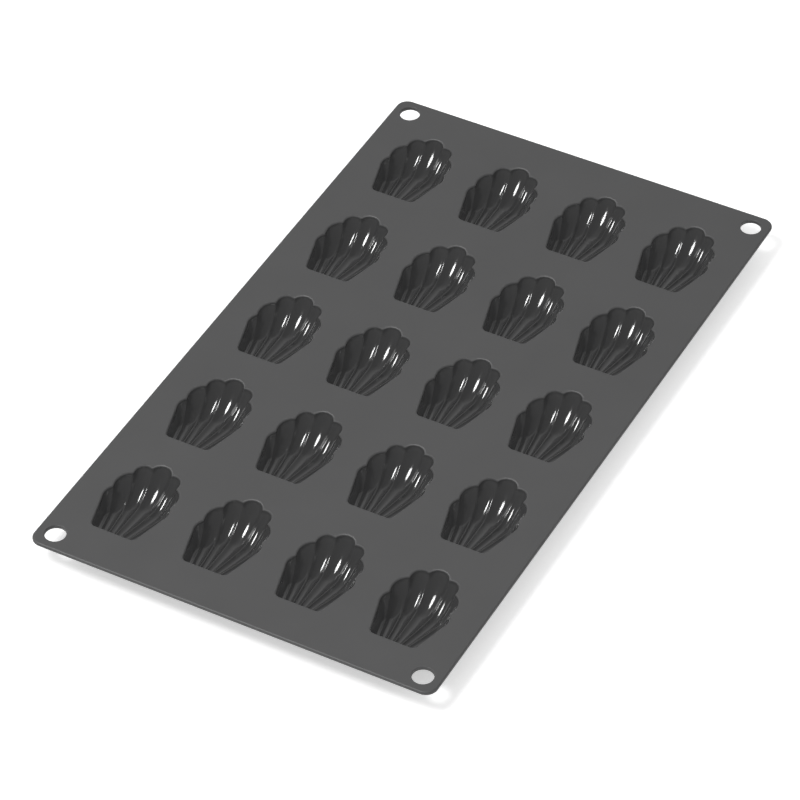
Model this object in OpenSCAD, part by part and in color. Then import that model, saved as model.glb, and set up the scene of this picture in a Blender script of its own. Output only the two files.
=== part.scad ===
// Flexible madeleine mould: a thin silicone sheet with five rows of four shell-shaped
// pockets that hang below it, and a round hole in each corner.
// Each row is a stiff region of the sheet with its pockets, and the sheet bends in the
// plain bands between the rows. X runs across the sheet, Y along it, and the mould
// stands on the undersides of its pockets at z = 0.

/* [Sheet] */
// Thickness of the sheet
sheet_t = 1.7; // [1.2:0.1:2.4]
// Radius of the sheet's corners in plan
corner_r = 5; // [2:0.5:8]
// Flat sheet between the rims of the outer rows and the short sides
end_margin = 15.7; // [12:0.1:30]
// Flat sheet between the rims of the outer columns and the long sides
side_margin = 10.95; // [9:0.05:25]

/* [Corner holes] */
// Diameter of each corner hole
hole_d = 8.5; // [5:0.5:10]
// Distance of a hole's centre from the long side
hole_inset_x = 7.8; // [7:0.1:9]
// Distance of a hole's centre from the short side
hole_inset_y = 7.8; // [7:0.1:9]

/* [Rows and columns] */
// Flat sheet between the rims of two neighbouring pockets in a row
column_gap = 9.3; // [5:0.1:20]
// Flat sheet between the rims of two rows
row_gap = 10.4; // [8:0.1:24]
// Part of that gap, at each rim, that stays stiff while the band between them bends
stiff_edge = 2; // [1:0.25:3]
// How far all the pockets sit towards the far short side
pocket_shift = 0.4; // [-1:0.1:1]

/* [Pocket mouth] */
// Length of the mouth, from the straight end to the tip of the middle lobe
pocket_length = 42.2; // [37:0.2:50]
// Width between the two long edges at the widest place, without the lobes
pocket_width = 28.1; // [24:0.1:36]
// Distance of the widest place from the straight end
pocket_widest = 14.6; // [12:0.2:17]
// Width of the straight end
foot_width = 19.9; // [16:0.1:21]
// How far the middle lobe stands out from the line through the cusps
lobe_rise = 2.35; // [1:0.05:3]

/* [Pocket depth] */
// Depth of the middle ridges at the deepest place
ridge_depth = 9.9; // [7:0.1:12]
// Distance of the deepest place from the straight end
deepest_y = 26.5; // [22:0.5:30]
// Depth of the middle ridges just inside the straight end
foot_depth = 4.8; // [3:0.1:6]
// Distance over which the wall of the straight end reaches that depth
foot_wall = 2; // [1:0.1:4]
// Depth of a flute below its ridges at the straight end
flute_foot = 0.65; // [0.3:0.05:1.2]
// Depth of a flute below its ridges at the lobes
flute_tip = 1.4; // [0.6:0.05:2]
// Thickness of the pocket's wall
wall_t = 1.6; // [1:0.1:2.4]

/* [Hidden] */
NODES = [
    "end_panel_near", "row_panel_2", "row_panel_3", "row_panel_4", "end_panel_far",
    "flex_band_1", "flex_band_2", "flex_band_3", "flex_band_4",
    "pocket_1a", "pocket_1b", "pocket_1c", "pocket_1d",
    "pocket_2a", "pocket_2b", "pocket_2c", "pocket_2d",
    "pocket_3a", "pocket_3b", "pocket_3c", "pocket_3d",
    "pocket_4a", "pocket_4b", "pocket_4c", "pocket_4d",
    "pocket_5a", "pocket_5b", "pocket_5c", "pocket_5d"
];

rows = 5;
columns = 4;
// Number of sides that stand for a full circle
round_fn = 48;
silicone = [0.34, 0.34, 0.345];
band_silicone = [0.40, 0.40, 0.405];
pocket_silicone = [0.25, 0.25, 0.255];

// A place across a pocket is its flute position: 0 is the middle of the middle flute,
// the ridges are at 0.5, 1.5 and 2.5, and the pocket's long edge is at 3.5.
edge_pos = 3.5;
// Where the ridges and the edge start on the straight end, as shares of its half width
foot_marks = [0, 0.115, 0.385, 0.69, 1];
// Where they end, as angles round the egg-shaped line through the cusps
cusp_angles = [0, 16.8, 45, 73.5, 90];
// Lobes and flutes get smaller from the middle one outwards
lobe_shares = [1, 0.85, 0.72, 0.43];
flute_shares = [1, 1, 0.9, 0.75, 0.7];
// Fullness of the egg-shaped line: 2 is an ellipse
egg_power = 2.2;
// A flute's section is a mix of a round arc and a parabola, with this share of arc
arc_share = 0.5;
// How round the crest of a ridge is
crest_soft = 0.3;
// Exponents of the floor's rise across, towards the lobes and towards the straight end
cross_power = [2.4, 0.59];
tip_power = [1.2, 0.63];
foot_power = 1.3;
// Share of the ridge depth over which a flute turns from the wall to the floor
wall_share = 0.55;

// Facets of a pocket: cuts of an outer flute and of the others, and places along it
outer_flute_cuts = 2;
flute_cuts = 3;
along = [0, 0.05, 0.22, 0.42, 0.58, 0.7, 0.84, 0.95, 1];
across = [
    for (flute = [-3:3])
        let (cuts = abs(flute) == 3 ? outer_flute_cuts : flute_cuts)
            for (i = [0:cuts - 1]) flute - 0.5 + i / cuts,
    edge_pos
];

column_pitch = pocket_width + 2 * wall_t + column_gap;
row_pitch = pocket_length + 2 * wall_t + row_gap;
sheet_width = columns * column_pitch - column_gap + 2 * side_margin;
sheet_length = rows * row_pitch - row_gap + 2 * end_margin;
band_length = row_gap - 2 * stiff_edge;

egg_length = pocket_length - lobe_rise - pocket_widest;
deepest_share = deepest_y / (egg_length + pocket_widest);

function lerp(a, b, share) = a + (b - a) * share;
function clamp01(v) = max(0, min(1, v));
function smooth(v) = v * v * (3 - 2 * v);

// Number of the flute that a position lies in, and its share of that flute
function flute_of(p) = min(floor(p + 0.5), 3);
function at_marks(list, p) =
    p <= 0.5
        ? lerp(list[0], list[1], p / 0.5)
        : lerp(list[flute_of(p)], list[flute_of(p) + 1], p + 0.5 - flute_of(p));

// Section of a flute from ridge to ridge, 1 in its middle, with rounded crests
function raw_scallop(u) =
    arc_share * sqrt(max(0, 1 - pow(2 * u - 1, 2))) + (1 - arc_share) * 4 * u * (1 - u);
function soften(f, c) = (sqrt(f * f + c * c) - c) / (sqrt(1 + c * c) - c);
function scallop(p) = soften(raw_scallop(p + 0.5 - flute_of(p)), crest_soft);

// Point on the egg-shaped line through the cusps, and the direction out of the pocket
function egg_point(angle) = [
    pocket_width / 2 * pow(sin(angle), 2 / egg_power),
    pocket_widest + egg_length * pow(cos(angle), 2 / egg_power)
];
function egg_out(angle) =
    let (v = [pow(sin(angle), 2 - 2 / egg_power) / (pocket_width / 2),
              pow(cos(angle), 2 - 2 / egg_power) / egg_length])
    v / norm(v);

// Depth of the ridges' own smooth bowl
function across_fall(p) =
    pow(clamp01(1 - pow(at_marks(foot_marks, p), cross_power[0])), cross_power[1]);
function foot_wall_rise(y) = sqrt(max(0, 1 - pow(1 - clamp01(y / foot_wall), 2)));
function along_fall(s, y) =
    s > deepest_share
        ? pow(clamp01(1 - pow((s - deepest_share) / (1 - deepest_share), tip_power[0])),
              tip_power[1])
        : lerp(1, foot_depth / ridge_depth, pow(1 - s / deepest_share, foot_power))
            * foot_wall_rise(y);

// Point of the pocket's inner face: x, y from the straight end, and depth
function pocket_point(s, pos) =
    let (
        p = abs(pos),
        angle = at_marks(cusp_angles, p),
        end = egg_point(angle),
        start_x = at_marks(foot_marks, p) * foot_width / 2,
        bowl = ridge_depth * across_fall(p) * along_fall(s, s * end.y),
        flute = lerp(flute_foot, flute_tip, s) * at_marks(flute_shares, p) * scallop(p),
        to_floor = smooth(clamp01(bowl / (ridge_depth * wall_share))),
        lobe = lobe_rise * lobe_shares[flute_of(p)] * scallop(p),
        push = egg_out(angle) * lobe * (1 - to_floor) * clamp01(2 * s - 1),
        x = lerp(start_x, end.x, s) + push.x
    )
    [pos < 0 ? -x : x, s * end.y + push.y, bowl + flute * to_floor];

inner_grid = [for (s = along) [for (pos = across) pocket_point(s, pos)]];
deepest = max([for (line = inner_grid) for (point = line) point[2]]);
deck_z = deepest + wall_t;

// The outer face is the inner one, grown in plan by the wall and lowered by it
grow_x = 1 + wall_t / (pocket_width / 2);
grow_y = 1 + wall_t / (pocket_length / 2);
sink = (deck_z - sheet_t) / deepest;
function grown(point) = [
    point.x * grow_x,
    pocket_length / 2 + (point.y - pocket_length / 2) * grow_y
];

// Numbers of the grid's border points, once round
last_s = len(along) - 1;
last_p = len(across) - 1;
border = [
    for (j = [0:last_p - 1]) [0, j],
    for (i = [0:last_s - 1]) [i, last_p],
    for (j = [last_p:-1:1]) [last_s, j],
    for (i = [last_s:-1:1]) [i, 0]
];
seam = [for (b = border) grown(inner_grid[b[0]][b[1]])];

function column_x(column) = (column - (columns - 1) / 2) * column_pitch;
function foot_y(row) = (row - (rows - 1) / 2) * row_pitch + pocket_shift - pocket_length / 2;
function fold_y(band) = (band - rows / 2) * row_pitch + pocket_shift;
function panel_start(row) = row == 0 ? -sheet_length / 2 : fold_y(row) + band_length / 2;
function panel_end(row) = row == rows - 1 ? sheet_length / 2 : fold_y(row + 1) - band_length / 2;

// Outline of the whole sheet, with its round corners
module sheet_outline() {
    square([sheet_width - 2 * corner_r, sheet_length], center = true);
    square([sheet_width, sheet_length - 2 * corner_r], center = true);
    for (x = [-1, 1], y = [-1, 1])
        translate([x * (sheet_width / 2 - corner_r), y * (sheet_length / 2 - corner_r)])
            circle(r = corner_r, $fn = round_fn);
}

// The stretch of the sheet that belongs to one row, with the four pocket mouths cut out
module panel(row) {
    color(silicone)
        difference() {
            translate([0, 0, deck_z - sheet_t])
                linear_extrude(sheet_t)
                    difference() {
                        intersection() {
                            sheet_outline();
                            translate([-sheet_width, panel_start(row)])
                                square([2 * sheet_width, panel_end(row) - panel_start(row)]);
                        }
                        for (column = [0:columns - 1])
                            translate([column_x(column), foot_y(row)])
                                polygon(seam);
                    }
            corner_holes();
        }
}

module corner_holes() {
    for (x = [-1, 1], y = [-1, 1])
        translate([x * (sheet_width / 2 - hole_inset_x), y * (sheet_length / 2 - hole_inset_y), 0])
            cylinder(d = hole_d, h = deck_z + sheet_t, $fn = round_fn);
}

// The plain band between two rows, where the sheet bends
module flex_band(band) {
    color(band_silicone)
        translate([-sheet_width / 2, fold_y(band) - band_length / 2, deck_z - sheet_t])
            cube([sheet_width, band_length, sheet_t]);
}

// One pocket: the fluted inner face, the grown outer face and the rim between them
module pocket(row, column) {
    stride = last_p + 1;
    count = (last_s + 1) * stride;
    ring = len(border);
    inner = [for (line = inner_grid) for (p = line) [p.x, p.y, deck_z - p[2]]];
    outer = [for (line = inner_grid) for (p = line)
        [grown(p).x, grown(p).y, deck_z - sheet_t - p[2] * sink]];
    rim = [for (p = seam) [p.x, p.y, deck_z]];
    cells = [for (i = [0:last_s - 1]) for (j = [0:last_p - 1]) [i, j]];
    function at(b) = b[0] * stride + b[1];
    // Each cell is split along the diagonal that runs towards the pocket's middle line
    function corners(c) =
        let (a = at(c), b = a + 1, d = a + stride, e = d + 1)
        c[1] < last_p / 2 ? [[a, b, e], [a, e, d]] : [[a, b, d], [b, e, d]];
    inner_faces = [for (c = cells) for (f = corners(c)) [f[2], f[1], f[0]]];
    outer_faces = [for (c = cells) for (f = corners(c)) [for (v = f) v + count]];
    rim_faces = [for (k = [0:ring - 1])
        let (n = (k + 1) % ring, a = at(border[k]), b = at(border[n]),
             c = 2 * count + k, d = 2 * count + n, e = a + count, f = b + count)
        each [[a, b, d], [a, d, c], [c, d, f], [c, f, e]]];
    color(pocket_silicone)
        translate([column_x(column), foot_y(row), 0])
            polyhedron(points = concat(inner, outer, rim),
                       faces = concat(inner_faces, outer_faces, rim_faces));
}

panel_names = [for (row = [0:rows - 1]) NODES[row]];
for (row = [0:rows - 1])
    panel(row);
for (band = [1:rows - 1])
    flex_band(band);
for (row = [0:rows - 1], column = [0:columns - 1])
    pocket(row, column);
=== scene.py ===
import math

import bpy
import numpy as np
from mathutils import Matrix, Vector
from mathutils.geometry import delaunay_2d_cdt


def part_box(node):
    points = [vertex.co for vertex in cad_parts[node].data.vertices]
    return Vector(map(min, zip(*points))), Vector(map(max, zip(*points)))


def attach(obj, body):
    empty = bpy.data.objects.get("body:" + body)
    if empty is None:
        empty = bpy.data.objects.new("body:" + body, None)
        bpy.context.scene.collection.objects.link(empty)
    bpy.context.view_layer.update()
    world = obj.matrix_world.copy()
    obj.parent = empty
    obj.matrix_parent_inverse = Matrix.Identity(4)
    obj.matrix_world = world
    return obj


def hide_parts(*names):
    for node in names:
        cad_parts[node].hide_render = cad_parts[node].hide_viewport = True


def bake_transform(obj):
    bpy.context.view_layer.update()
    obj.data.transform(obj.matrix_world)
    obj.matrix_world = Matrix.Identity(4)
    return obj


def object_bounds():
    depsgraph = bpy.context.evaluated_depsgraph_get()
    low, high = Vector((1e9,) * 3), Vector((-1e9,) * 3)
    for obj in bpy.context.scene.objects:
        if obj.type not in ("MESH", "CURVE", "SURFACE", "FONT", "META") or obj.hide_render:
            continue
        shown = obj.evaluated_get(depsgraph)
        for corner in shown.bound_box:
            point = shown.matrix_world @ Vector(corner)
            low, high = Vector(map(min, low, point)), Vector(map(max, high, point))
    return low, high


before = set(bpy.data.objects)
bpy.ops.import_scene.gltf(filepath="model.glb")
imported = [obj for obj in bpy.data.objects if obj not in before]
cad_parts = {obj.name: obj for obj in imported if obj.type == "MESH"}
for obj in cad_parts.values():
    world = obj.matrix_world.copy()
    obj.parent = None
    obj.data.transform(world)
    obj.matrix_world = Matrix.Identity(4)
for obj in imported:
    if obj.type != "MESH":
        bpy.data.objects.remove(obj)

# A flexible silicone mould with five rows of four shell-shaped pockets. Lengths are in
# millimetres, as in the frame's source, until a mesh is made, which is in metres.
MM = 0.001
cad_low, cad_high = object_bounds()

# Size of the sheet, from the frame
band_low, band_high = (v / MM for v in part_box("flex_band_1"))
pocket_low, pocket_high = (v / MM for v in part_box("pocket_1a"))
HALF_WIDTH = cad_high.x / MM
HALF_LENGTH = cad_high.y / MM
DECK = cad_high.z / MM
SHEET = band_high.z - band_low.z
UNDERSIDE = DECK - SHEET
ROWS = 5
COLUMNS = "abcd"

# Edges and holes of the sheet
CORNER_R = 5.0
EDGE_ROUND = 0.75
HOLE_ROUND = 0.35
HOLE_R = 4.25
HOLE_INSET = 7.8

# Pocket: outline, bowl and flutes, as in the frame's source, but the flutes cut a little
# deeper at the foot, where the photograph shows them in sharp light and shade
WALL = 1.6
POCKET_LENGTH = pocket_high.y - pocket_low.y - 2 * WALL
POCKET_HALF = 14.05
FOOT_HALF = 9.95
WIDEST_Y = 14.6
LOBE_RISE = 2.35
EGG_LENGTH = POCKET_LENGTH - LOBE_RISE - WIDEST_Y
DEEPEST_SHARE = 26.5 / (EGG_LENGTH + WIDEST_Y)
RIDGE_DEPTH = 9.9
FOOT_DEPTH = 4.8
FOOT_WALL = 2.0
FLUTE_FOOT = 1.05
FLUTE_TIP = 1.4
RIDGES = [0, 0.5, 1.5, 2.5, 3.5]
FOOT_MARKS = [0, 0.115, 0.385, 0.69, 1]
CUSP_ANGLES = [0, 16.8, 45, 73.5, 90]
LOBE_SHARES = [1, 0.85, 0.72, 0.43]
FLUTE_SHARES = [1, 1, 0.9, 0.75, 0.7]
EGG_POWER = 2.2
ARC_SHARE = 0.5
CREST_SOFT = 0.3
CREST_ROUND = 0.035
CROSS_POWER = (2.4, 0.59)
TIP_POWER = (1.2, 0.63)
FOOT_POWER = 1.3
WALL_SHARE = 0.55

# Rounding of a pocket's lip, of its foot corners and of its outside under the sheet
LIP_ROUND = 0.75
FOOT_CORNER = 1.7
UNDER_ROUND = 1.0
ARC_STEPS = 6
LEAST_MITRE = 0.6

# Where the grid of a pocket has its lines: places in a flute, and shares along the flutes
FLUTE_CUTS = [0, 0.04, 0.1, 0.19, 0.33, 0.5, 0.67, 0.81, 0.9, 0.96]
EDGE_CUTS = [0, 0.04, 0.1, 0.19, 0.33, 0.5, 0.65, 0.77, 0.86, 0.92, 0.96, 0.985, 0.996]
FOOT_CUTS = [0, 0.0006, 0.002, 0.0045, 0.009, 0.015, 0.023, 0.033, 0.045, 0.06,
             0.085, 0.125, 0.18, 0.25, 0.32, 0.4, 0.47, 0.54, 0.61]
TIP_DEPTHS = [1, 0.985, 0.955, 0.9, 0.82, 0.73, 0.63, 0.53, 0.43, 0.33, 0.24, 0.16, 0.1, 0.05, 0]


def smooth(v):
    v = np.clip(v, 0, 1)
    return v * v * (3 - 2 * v)


def arc_steps(radius):
    """Inset, drop and turn round a quarter circle, from the flat face to the side"""
    turns = [math.pi / 2 * k / ARC_STEPS for k in range(ARC_STEPS + 1)]
    return [(radius * (1 - math.sin(t)), radius * (1 - math.cos(t)), t) for t in turns]


# The pocket's inner face

def flute_of(p):
    return np.minimum(np.floor(p + 0.5), 3)


def scallop(p):
    """Section of a flute: 1 in its middle, and 0 at the ridges, whose crests are round"""
    u = p + 0.5 - flute_of(p)
    near = np.minimum(u, 1 - u)
    near = np.sqrt(near**2 + CREST_ROUND**2) - CREST_ROUND * (1 - 2 * near)
    arc = np.sqrt(np.clip(1 - (2 * near - 1) ** 2, 0, 1))
    raw = ARC_SHARE * arc + (1 - ARC_SHARE) * 4 * near * (1 - near)
    soft = CREST_SOFT
    return (np.sqrt(raw**2 + soft**2) - soft) / (math.sqrt(1 + soft**2) - soft)


def egg(angle):
    """Point on the egg-shaped line through the cusps, and the direction out of it"""
    s, c = np.sin(angle), np.clip(np.cos(angle), 0, 1)
    x = POCKET_HALF * s ** (2 / EGG_POWER)
    y = WIDEST_Y + EGG_LENGTH * c ** (2 / EGG_POWER)
    out = np.array([s ** (2 - 2 / EGG_POWER) / POCKET_HALF, c ** (2 - 2 / EGG_POWER) / EGG_LENGTH])
    return x, y, out / np.linalg.norm(out, axis=0)


def along_fall(s, y):
    """Depth of the ridges along the pocket: up at the foot, deepest, and up at the tip"""
    to_tip = np.clip((s - DEEPEST_SHARE) / (1 - DEEPEST_SHARE), 0, 1)
    tip = (1 - to_tip ** TIP_POWER[0]) ** TIP_POWER[1]
    to_foot = np.clip(1 - s / DEEPEST_SHARE, 0, 1)
    foot = 1 + (FOOT_DEPTH / RIDGE_DEPTH - 1) * to_foot**FOOT_POWER
    wall = np.sqrt(1 - (1 - np.clip(y / FOOT_WALL, 0, 1)) ** 2)
    return np.where(s > DEEPEST_SHARE, tip, foot * wall)


def round_foot_corner(x, y):
    """Turns the sharp corners between the foot and the long sides into round ones"""
    lean = (POCKET_HALF - FOOT_HALF) / WIDEST_Y
    across = 1 - (FOOT_HALF + lean * y - np.abs(x)) / FOOT_CORNER
    up = 1 - y / FOOT_CORNER
    at_corner = (across > 0) & (up > 0)
    new_across = across * np.sqrt(1 - np.clip(up, 0, 1) ** 2 / 2)
    new_up = up * np.sqrt(1 - np.clip(across, 0, 1) ** 2 / 2)
    new_y = FOOT_CORNER * (1 - new_up)
    new_x = FOOT_HALF + lean * new_y - FOOT_CORNER * (1 - new_across)
    return np.where(at_corner, np.sign(x) * new_x, x), np.where(at_corner, new_y, y)


def pocket_grid(s, pos):
    """Inner face over all shares s along the flutes and places pos across: x, y, depth"""
    s, pos = s[:, None], pos[None, :]
    p = np.abs(pos)
    angle = np.radians(np.interp(p, RIDGES, CUSP_ANGLES))
    end_x, end_y, out = egg(angle)
    foot = np.interp(p, RIDGES, FOOT_MARKS)
    across = np.clip(1 - foot ** CROSS_POWER[0], 0, 1) ** CROSS_POWER[1]
    bowl = RIDGE_DEPTH * across * along_fall(s, s * end_y)
    flute = FLUTE_FOOT + (FLUTE_TIP - FLUTE_FOOT) * s
    flute = flute * np.interp(p, RIDGES, FLUTE_SHARES) * scallop(p)
    to_floor = smooth(bowl / (RIDGE_DEPTH * WALL_SHARE))
    lobe = LOBE_RISE * np.array(LOBE_SHARES)[flute_of(p).astype(int)] * scallop(p)
    push = out * lobe * (1 - to_floor) * np.clip(2 * s - 1, 0, 1)
    x = FOOT_HALF * foot * (1 - s) + end_x * s + push[0]
    y = s * end_y + push[1]
    x, y = round_foot_corner(np.sign(pos) * x, y)
    return x, y, bowl + flute * to_floor


def grid_lines():
    """Shares along the flutes and places across them where the grid has its lines"""
    power = 1 / TIP_POWER[1]
    tip = [DEEPEST_SHARE + (1 - DEEPEST_SHARE) * (1 - d**power) ** (1 / TIP_POWER[0])
           for d in TIP_DEPTHS]
    inner = [f - 0.5 + c for f in range(-2, 3) for c in FLUTE_CUTS]
    edge = [2.5 + c for c in EDGE_CUTS]
    across = [-3.5] + [-e for e in reversed(edge[1:])] + inner + edge + [3.5]
    return np.array(FOOT_CUTS + tip), np.array(across)


def ring_index(rows, cols):
    """Numbers of a grid's border points, once round counterclockwise"""
    last = (rows - 1) * cols
    return np.array(list(range(cols - 1)) + [i * cols + cols - 1 for i in range(rows - 1)]
                    + [last + j for j in range(cols - 1, 0, -1)]
                    + [i * cols for i in range(rows - 1, 0, -1)])


def ring_out(x, y, s, pos):
    """Direction in which each border point moves outwards, and how far per millimetre.
    At a cusp between two lobes the move is longer, as at the mitre of a frame."""
    rows, cols = len(s), len(pos)
    ring = ring_index(rows, cols)
    px, py = x.ravel()[ring], y.ravel()[ring]
    ring_s, ring_p = s[ring // cols], pos[ring % cols]
    side = np.array([WIDEST_Y, FOOT_HALF - POCKET_HALF])
    side = side / np.linalg.norm(side)
    out = egg(np.radians(np.interp(np.abs(ring_p), RIDGES, CUSP_ANGLES)))[2]
    towards = side[:, None] * (1 - ring_s) + out * ring_s
    lean = (POCKET_HALF - FOOT_HALF) / WIDEST_Y
    by_side = np.clip(1 - (FOOT_HALF + lean * py - np.abs(px)) / FOOT_CORNER, 0, 1)
    by_side = np.maximum(by_side, smooth(2 * ring_s))
    by_foot = np.clip(1 - py / FOOT_CORNER, 0, 1)
    out_x = np.sign(ring_p) * towards[0] * by_side
    out_y = towards[1] * by_side - by_foot
    size = np.hypot(out_x, out_y)
    out_x, out_y = out_x / size, out_y / size
    run_x, run_y = np.roll(px, -1) - np.roll(px, 1), np.roll(py, -1) - np.roll(py, 1)
    facing = (run_y * out_x - run_x * out_y) / np.hypot(run_x, run_y)
    per_mm = 1 / np.maximum(facing, LEAST_MITRE)
    return out_x * per_mm, out_y * per_mm


def grown(x, y, by):
    """A plan of the pocket that is larger all round"""
    middle = POCKET_LENGTH / 2
    return x * (1 + by / POCKET_HALF), middle + (y - middle) * (1 + by / middle)


# Meshes

class Solid:
    """Points, their normals and polish, and the faces of one closed piece"""

    def __init__(self):
        self.points, self.normals, self.polish, self.faces = [], [], [], []

    def add(self, points, normals, polish=0.0):
        first = len(self.points)
        points = np.asarray(points, float).reshape(-1, 3)
        self.points.extend(points)
        self.normals.extend(np.broadcast_to(normals, points.shape))
        self.polish.extend(np.broadcast_to(polish, len(points)))
        return np.arange(first, first + len(points))

    def strip(self, inner, outer, flip=False):
        """Quads between two closed rings, the outer one farther out or lower down"""
        for k in range(len(inner)):
            n = (k + 1) % len(inner)
            quad = [inner[k], outer[k], outer[n], inner[n]]
            self.faces.append(quad[::-1] if flip else quad)

    def cells(self, grid, flip=False):
        a, b, c, d = grid[:-1, :-1], grid[:-1, 1:], grid[1:, 1:], grid[1:, :-1]
        quads = np.stack([a, b, c, d], axis=-1).reshape(-1, 4)
        self.faces.extend((quads[:, ::-1] if flip else quads).tolist())

    def fill(self, rings, flip=False):
        """Triangles between an outline, the first ring, and the holes in it"""
        numbers = np.concatenate(rings)
        flat = [Vector(self.points[n][:2]) for n in numbers]
        edges, holes, first = [], [], 0
        for ring in rings:
            count = len(ring)
            edges += [(first + k, first + (k + 1) % count) for k in range(count)]
            holes.append(np.array([self.points[n][:2] for n in ring]))
            first += count
        found = delaunay_2d_cdt(flat, edges, [], 1, 1e-6)
        places, triangles = found[0], found[2]
        if len(places) != len(flat):
            raise ValueError("two points of a flat face fall together")
        source = [numbers[o[0]] for o in found[3]]
        for t in triangles:
            centre = np.mean([places[v] for v in t], axis=0)
            if any(inside(centre, hole) for hole in holes[1:]):
                continue
            face = [int(source[v]) for v in t]
            self.faces.append(face[::-1] if flip else face)

    def piece(self, name):
        mesh = bpy.data.meshes.new(name)
        places = np.array(self.points) * MM
        mesh.from_pydata(places.tolist(), [], [[int(v) for v in f] for f in self.faces])
        mesh.shade_smooth()
        rest = mesh.attributes.new("rest", "FLOAT_VECTOR", "POINT")
        rest.data.foreach_set("vector", places.astype(np.float32).ravel())
        # How far each point's face leans from level, which the material uses to paint light and
        # shade in the pockets
        steep = 1 - np.abs(np.array(self.normals)[:, 2])
        for kind, values in (("polish", self.polish), ("steep", steep)):
            layer = mesh.attributes.new(kind, "FLOAT", "POINT")
            layer.data.foreach_set("value", np.array(values, np.float32))
        mesh.normals_split_custom_set_from_vertices([Vector(n) for n in self.normals])
        made = bpy.data.objects.new(name, mesh)
        bpy.context.scene.collection.objects.link(made)
        return made


def inside(point, ring):
    """Whether a point lies in a closed ring of points"""
    x, y = ring[:, 0], ring[:, 1]
    next_x, next_y = np.roll(x, -1), np.roll(y, -1)
    spans = (y > point[1]) != (next_y > point[1])
    with np.errstate(divide="ignore", invalid="ignore"):
        cross = x + (point[1] - y) * (next_x - x) / (next_y - y)
    return bool(np.count_nonzero(spans & (point[0] < cross)) % 2)


def line_tangents(points, axis):
    """Direction of each grid line at its points, true on a circle whatever the spacing"""
    points = np.moveaxis(points, axis, 0)
    step = np.diff(points, axis=0)
    size = np.linalg.norm(step, axis=-1, keepdims=True) + 1e-12
    unit = step / size
    middle = unit[:-1] * size[1:] + unit[1:] * size[:-1]
    return np.moveaxis(np.concatenate([unit[:1], middle, unit[-1:]]), 0, axis)


def grid_normals(points):
    normal = np.cross(line_tangents(points, 1), line_tangents(points, 0))
    return normal / (np.linalg.norm(normal, axis=-1, keepdims=True) + 1e-12)


class PocketShape:
    """The one shape that all the pockets have, with its foot's middle at the origin"""

    def __init__(self):
        s, pos = grid_lines()
        mouth_x, mouth_y, depth = pocket_grid(s, pos)
        x, y = grown(mouth_x, mouth_y, -LIP_ROUND)
        out_x, out_y = grown(mouth_x, mouth_y, WALL)
        self.size = x.shape
        self.ring = ring_index(*self.size)
        self.inner = self.lowered(x, y, DECK - LIP_ROUND, WALL, depth)
        self.outer = self.lowered(out_x, out_y, UNDERSIDE - UNDER_ROUND, 0, depth)
        self.inner_normals = grid_normals(self.inner)
        self.outer_normals = -grid_normals(self.outer)
        self.seam = self.outer.reshape(-1, 3)[self.ring]
        self.seam[:, 2] = DECK
        lip_out, flare_out = ring_out(x, y, s, pos), ring_out(out_x, out_y, s, pos)
        self.lip = self.rings(self.inner, lip_out, LIP_ROUND, DECK, 1)
        self.flare = self.rings(self.outer, flare_out, UNDER_ROUND, UNDERSIDE, -1)

    def lowered(self, x, y, start, end, depth):
        """A plan with heights from start, at its border, to end, at the deepest place"""
        return np.stack([x, y, start - depth * (start - end) / depth.max()], axis=-1)

    def rings(self, grid, out, radius, level, facing):
        """Rings of a quarter round from a flat face to the top of a wall. Inside, where
        facing is 1, the wall turns up over the lip; outside, it flares out to the sheet's
        underside."""
        out_x, out_y = out
        size = np.hypot(out_x, out_y)
        border = grid.reshape(-1, 3)[self.ring]
        made = []
        for inset, drop, turn in arc_steps(radius)[:-1]:
            ring = border + np.stack([out_x * inset, out_y * inset, 0 * out_x], axis=-1)
            ring[:, 2] = level - drop
            side, up = math.sin(turn), np.full(len(ring), math.cos(turn))
            normal = np.stack([-side * out_x / size, -side * out_y / size, up], axis=-1)
            made.append((ring, normal * facing))
        return made


SHAPE = PocketShape()


def pocket_place(row, column):
    """Where the middle of a pocket's foot is, from the frame"""
    low, high = (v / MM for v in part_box(f"pocket_{row}{column}"))
    return np.array([(low.x + high.x) / 2, low.y + WALL, 0])


def make_pocket(row, column):
    solid = Solid()
    place = pocket_place(row, column)
    inner = solid.add(SHAPE.inner + place, SHAPE.inner_normals.reshape(-1, 3), 1.0)
    outer = solid.add(SHAPE.outer + place, SHAPE.outer_normals.reshape(-1, 3))
    solid.cells(inner.reshape(SHAPE.size))
    solid.cells(outer.reshape(SHAPE.size), flip=True)
    seam = solid.add(SHAPE.seam + place, (0, 0, 1))
    lip = [solid.add(ring + place, normal, (k / ARC_STEPS) ** 3)
           for k, (ring, normal) in enumerate(SHAPE.lip)]
    lip.append(inner[SHAPE.ring])
    solid.strip(lip[0], seam)
    for upper, lower in zip(lip, lip[1:]):
        solid.strip(lower, upper)
    flare = [solid.add(ring + place, normal) for ring, normal in SHAPE.flare]
    flare.append(outer[SHAPE.ring])
    solid.strip(seam, flare[0])
    for upper, lower in zip(flare, flare[1:]):
        solid.strip(upper, lower)
    return solid.piece(f"shell_{row}{column}")


# The sheet: five panels and four bands

def edge_levels(radius):
    """Inset, height and normal's tilt down a rounded edge of the sheet"""
    top = [(inset, DECK - drop, math.pi / 2 - turn) for inset, drop, turn in arc_steps(radius)]
    return top + [(i, DECK + UNDERSIDE - z, -tilt) for i, z, tilt in reversed(top)]


def corner_arc(x_sign, y_sign, start, inset):
    """A round corner of the sheet, counterclockwise from the angle start"""
    steps = 14
    radius = CORNER_R - inset
    centre_x = x_sign * (HALF_WIDTH - CORNER_R)
    centre_y = y_sign * (HALF_LENGTH - CORNER_R)
    turns = [start + math.pi / 2 * k / steps for k in range(steps + 1)]
    return [(centre_x + radius * math.cos(t), centre_y + radius * math.sin(t),
             math.cos(t), math.sin(t)) for t in turns]


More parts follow.
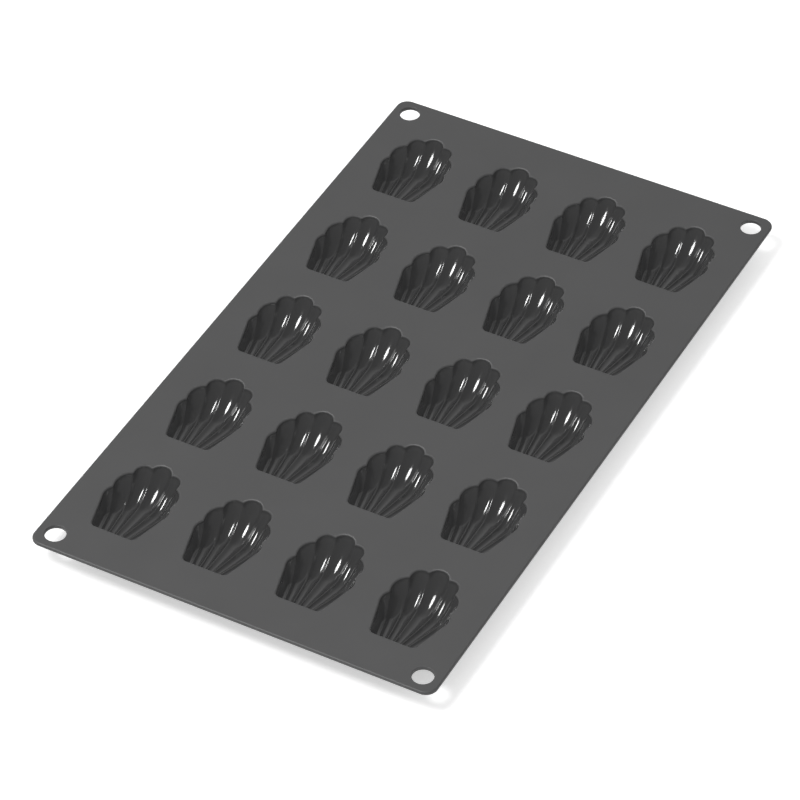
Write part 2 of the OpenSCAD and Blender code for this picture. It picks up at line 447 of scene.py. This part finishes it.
def panel_loop(low_y, high_y, inset):
    """Outline of a panel, with the outward direction of each of its points"""
    x = HALF_WIDTH - inset
    if low_y > -HALF_LENGTH + CORNER_R:
        loop = [(-x, low_y, -1, 0), (x, low_y, 1, 0)]
    else:
        loop = corner_arc(-1, -1, math.pi, inset) + corner_arc(1, -1, 1.5 * math.pi, inset)
    if high_y < HALF_LENGTH - CORNER_R:
        return loop + [(x, high_y, 1, 0), (-x, high_y, -1, 0)]
    return loop + corner_arc(1, 1, 0, inset) + corner_arc(-1, 1, math.pi / 2, inset)


def add_loop(solid, loop, z, tilt):
    points = [(x, y, z) for x, y, _, _ in loop]
    up, out = math.sin(tilt), math.cos(tilt)
    return solid.add(points, [(nx * out, ny * out, up) for _, _, nx, ny in loop])


def add_hole(solid, x, y):
    """A round hole with rounded edges: its ring in the top face and in the underside"""
    steps = 64
    turns = [2 * math.pi * k / steps for k in range(steps)]
    rings = []
    for inset, z, tilt in edge_levels(HOLE_ROUND):
        radius = HOLE_R + inset
        loop = [(x + radius * math.cos(t), y + radius * math.sin(t), -math.cos(t), -math.sin(t))
                for t in turns]
        rings.append(add_loop(solid, loop, z, tilt))
    for upper, lower in zip(rings, rings[1:]):
        solid.strip(upper, lower, flip=True)
    return rings[0], rings[-1]


def make_panel(node, row):
    low, high = (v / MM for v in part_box(node))
    solid = Solid()
    loops = [add_loop(solid, panel_loop(low.y, high.y, inset), z, tilt)
             for inset, z, tilt in edge_levels(EDGE_ROUND)]
    for upper, lower in zip(loops, loops[1:]):
        solid.strip(upper, lower)
    tops, bottoms = [loops[0]], [loops[-1]]
    for column in COLUMNS:
        place = pocket_place(row, column)
        top = solid.add(SHAPE.seam + place, (0, 0, 1))
        bottom = solid.add(SHAPE.flare[0][0] + place, (0, 0, -1))
        solid.strip(top, bottom, flip=True)
        tops.append(top)
        bottoms.append(bottom)
    if row in (1, ROWS):
        y = (HALF_LENGTH - HOLE_INSET) * (1 if row == ROWS else -1)
        for x in (HOLE_INSET - HALF_WIDTH, HALF_WIDTH - HOLE_INSET):
            top, bottom = add_hole(solid, x, y)
            tops.append(top)
            bottoms.append(bottom)
    solid.fill(tops)
    solid.fill(bottoms, flip=True)
    return solid.piece(f"sheet_row_{row}")


def make_band(node, number):
    """A band, which is the sheet's cross-section drawn along y in steps.
    Comes with the low and high corners of its box."""
    steps = 24
    low, high = (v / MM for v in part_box(node))
    half = [(HALF_WIDTH - inset, z, tilt) for inset, z, tilt in edge_levels(EDGE_ROUND)]
    section = half[::-1] + [(-x, z, math.pi - tilt) for x, z, tilt in half]
    normals = [(math.cos(tilt), 0, math.sin(tilt)) for _, _, tilt in section]
    solid = Solid()
    rings = []
    for k in range(steps + 1):
        y = low.y + (high.y - low.y) * k / steps
        rings.append(solid.add([(x, y, z) for x, z, _ in section], normals))
    for near, far in zip(rings, rings[1:]):
        solid.strip(near, far)
    solid.faces.append(list(rings[0]))
    solid.faces.append(list(rings[-1][::-1]))
    return solid.piece(f"band_{number}"), low, high


# Materials

def feed(links, socket, value):
    """Sets a socket to a number, or joins another node's output to it"""
    if isinstance(value, float):
        socket.default_value = value
    else:
        links.new(value, socket)


def new_material(name):
    material = bpy.data.materials.new(name)
    material.use_nodes = True
    nodes = material.node_tree.nodes
    return material, nodes, material.node_tree.links, nodes["Principled BSDF"]


def noise(nodes, links, source, scale, detail):
    """A noise texture on the rest coordinates, with scale in features per metre"""
    node = nodes.new("ShaderNodeTexNoise")
    node.inputs["Scale"].default_value = scale
    node.inputs["Detail"].default_value = detail
    links.new(source, node.inputs["Vector"])
    return node.outputs["Fac"]


def mapped(nodes, links, source, low, high, start=0.0, end=1.0):
    """A value that goes smoothly from low to high while the source goes from start to end"""
    node = nodes.new("ShaderNodeMapRange")
    node.interpolation_type = "SMOOTHSTEP"
    node.inputs["From Min"].default_value = start
    node.inputs["From Max"].default_value = end
    feed(links, node.inputs["To Min"], low)
    feed(links, node.inputs["To Max"], high)
    links.new(source, node.inputs["Value"])
    return node.outputs["Result"]


def math_node(nodes, links, operation, first, second):
    node = nodes.new("ShaderNodeMath")
    node.operation = operation
    feed(links, node.inputs[0], first)
    feed(links, node.inputs[1], second)
    return node.outputs[0]


def bump(nodes, links, height, strength, distance, normal=None):
    node = nodes.new("ShaderNodeBump")
    feed(links, node.inputs["Strength"], strength)
    node.inputs["Distance"].default_value = distance
    links.new(height, node.inputs["Height"])
    if normal:
        links.new(normal, node.inputs["Normal"])
    return node.outputs["Normal"]


def attribute(nodes, name, kind):
    node = nodes.new("ShaderNodeAttribute")
    node.attribute_name = name
    return node.outputs[kind]


def silicone():
    """Dark grey silicone: satin on the sheet, and polished in the pockets. The pockets are darker
    than the sheet, partly for their polish and partly as painted shade in the hollows, and they
    hold painted
    light by slope: lighter on flat floors and on steep walls, darkest where they slope"""
    sheet_grey, flat_lit_grey, sloping_shaded_grey, wall_lit_grey = 0.078, 0.06, 0.046, 0.068
    sheet_rough, pocket_rough = 0.5, 0.1
    material, nodes, links, shader = new_material("dark_silicone")
    place = attribute(nodes, "rest", "Vector")
    polished = attribute(nodes, "polish", "Fac")
    steep = attribute(nodes, "steep", "Fac")

    cloud = noise(nodes, links, place, 38.0, 3.0)
    # Painted light and shade by slope in the pockets: flat floors lighter, slopes darker, steep
    # walls lighter again
    bottom_light_and_shade = mapped(nodes, links, steep, flat_lit_grey, sloping_shaded_grey, 0.01, 0.12)
    pocket_light_and_shade = mapped(nodes, links, steep, bottom_light_and_shade, wall_lit_grey, 0.1, 0.8)
    # The pockets' grey is darker than the sheet's, partly for the polished finish and partly as
    # painted shade in the hollows
    grey = mapped(nodes, links, polished, sheet_grey, pocket_light_and_shade)
    grey = math_node(nodes, links, "MULTIPLY", grey, mapped(nodes, links, cloud, 0.95, 1.05))
    colour = nodes.new("ShaderNodeCombineColor")
    for name in ("Red", "Green"):
        links.new(grey, colour.inputs[name])
    links.new(math_node(nodes, links, "MULTIPLY", grey, 1.01), colour.inputs["Blue"])
    links.new(colour.outputs["Color"], shader.inputs["Base Color"])

    rough = mapped(nodes, links, polished, sheet_rough, pocket_rough)
    rough = math_node(nodes, links, "ADD", rough, mapped(nodes, links, cloud, -0.02, 0.02))
    links.new(rough, shader.inputs["Roughness"])
    shader.inputs["IOR"].default_value = 1.43

    waves = bump(nodes, links, noise(nodes, links, place, 14.0, 1.0), 0.25, 0.0004)
    grain = noise(nodes, links, place, 2600.0, 2.0)
    fine = mapped(nodes, links, polished, 0.25, 0.03)
    links.new(bump(nodes, links, grain, fine, 0.00003, waves), shader.inputs["Normal"])
    return material


def floor_material():
    """White floor that keeps shadows and shows as plain white where it is fully lit"""
    glow = 0.46
    material, nodes, links, shader = new_material("white_floor")
    shader.inputs["Base Color"].default_value = (0.9, 0.9, 0.9, 1)
    shader.inputs["Roughness"].default_value = 0.9
    shader.inputs["Emission Color"].default_value = (1, 1, 1, 1)
    seen = seen_directly(nodes, links, "Is Glossy Ray")
    links.new(math_node(nodes, links, "MULTIPLY", seen, glow), shader.inputs["Emission Strength"])
    return material


def seen_directly(nodes, links, *more):
    """1 for rays from the camera and through glass, and for the other kinds that are named"""
    path = nodes.new("ShaderNodeLightPath")
    seen = path.outputs["Is Camera Ray"]
    for name in ("Is Transmission Ray",) + more:
        seen = math_node(nodes, links, "MAXIMUM", seen, path.outputs[name])
    return seen


# The scene round the mould

def make_floor():
    half = 6.0
    mesh = bpy.data.meshes.new("floor")
    corners = [(-half, -half, 0), (half, -half, 0), (half, half, 0), (-half, half, 0)]
    mesh.from_pydata(corners, [], [(0, 1, 2, 3)])
    mesh.materials.append(floor_material())
    floor = bpy.data.objects.new("floor", mesh)
    bpy.context.scene.collection.objects.link(floor)


def make_world():
    """White all round, with soft fill, and in reflections a room that is lighter behind"""
    fill, front, behind = 0.62, 0.24, 0.75
    away_from_camera = (-0.49, 0.87, 0)
    world = bpy.data.worlds.new("studio")
    bpy.context.scene.world = world
    world.use_nodes = True
    nodes, links = world.node_tree.nodes, world.node_tree.links
    background = nodes["Background"]
    background.inputs["Color"].default_value = (1, 1, 1, 1)
    away = nodes.new("ShaderNodeVectorMath")
    away.operation = "DOT_PRODUCT"
    away.inputs[1].default_value = away_from_camera
    links.new(nodes.new("ShaderNodeTexCoord").outputs["Generated"], away.inputs[0])
    room = mapped(nodes, links, away.outputs["Value"], front, behind, 0.2, 1.0)
    path = nodes.new("ShaderNodeLightPath")
    strength = mapped(nodes, links, path.outputs["Is Glossy Ray"], fill, room)
    strength = mapped(nodes, links, seen_directly(nodes, links), strength, 1.0)
    links.new(strength, background.inputs["Strength"])


def make_lamp(name, towards, distance, width, power):
    """A round lamp that faces the mould from a direction, with its power in watts"""
    towards = Vector(towards).normalized()
    data = bpy.data.lights.new(name, "AREA")
    data.shape = "DISK"
    data.size = width
    data.energy = power
    lamp = bpy.data.objects.new(name, data)
    lamp.location = towards * distance
    lamp.rotation_euler = towards.to_track_quat("Z", "Y").to_euler()
    bpy.context.scene.collection.objects.link(lamp)
    return lamp


def make_lamps():
    """The key light, and the softbox that the pockets mirror"""
    key = make_lamp("key", (-0.27, -0.4, 0.875), 2.4, 0.7, 22.0)
    key.visible_glossy = False
    softbox = make_lamp("softbox", (-0.375, -0.276, 0.885), 2.4, 0.78, 63.0)
    softbox.visible_diffuse = False


def make_camera():
    """Long lens from the near right, at the photograph's height and turn"""
    aim = Vector((1.444, -15.928, DECK)) * MM
    azimuth, elevation, roll = math.radians(29.349), math.radians(43.179), math.radians(-1.206)
    distance, lens, sensor = 1.6601, 189.632, 36
    back = Vector((math.sin(azimuth) * math.cos(elevation),
                   -math.cos(azimuth) * math.cos(elevation), math.sin(elevation)))
    data = bpy.data.cameras.new("camera")
    data.sensor_width = sensor
    data.lens = lens
    data.clip_start, data.clip_end = 0.05, 50
    camera = bpy.data.objects.new("camera", data)
    turn = back.to_track_quat("Z", "Y").to_matrix() @ Matrix.Rotation(roll, 3, "Z")
    camera.matrix_world = Matrix.Translation(aim + back * distance) @ turn.to_4x4()
    bpy.context.scene.collection.objects.link(camera)
    bpy.context.scene.camera = camera


def dress(piece, material, slot, *nodes):
    piece.data.materials.append(material)
    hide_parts(*nodes)


def dress_rows(material):
    ends = {1: "end_panel_near", ROWS: "end_panel_far"}
    for row in range(1, ROWS + 1):
        node = ends.get(row, f"row_panel_{row}")
        panel = make_panel(node, row)
        dress(panel, material, "sheet_silicone", node)
        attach(panel, f"row_{row}")
        for column in COLUMNS:
            shell = make_pocket(row, column)
            dress(shell, material, "pocket_silicone", f"pocket_{row}{column}")
            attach(shell, f"row_{row}")


def dress_bands(material):
    for number in range(1, ROWS):
        node = f"flex_band_{number}"
        band, low, high = make_band(node, number)
        dress(band, material, "sheet_silicone", node)
        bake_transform(band)


bpy.context.scene.view_settings.view_transform = "Standard"
make_camera()
make_world()
make_lamps()
make_floor()
SILICONE = silicone()
dress_rows(SILICONE)
dress_bands(SILICONE)
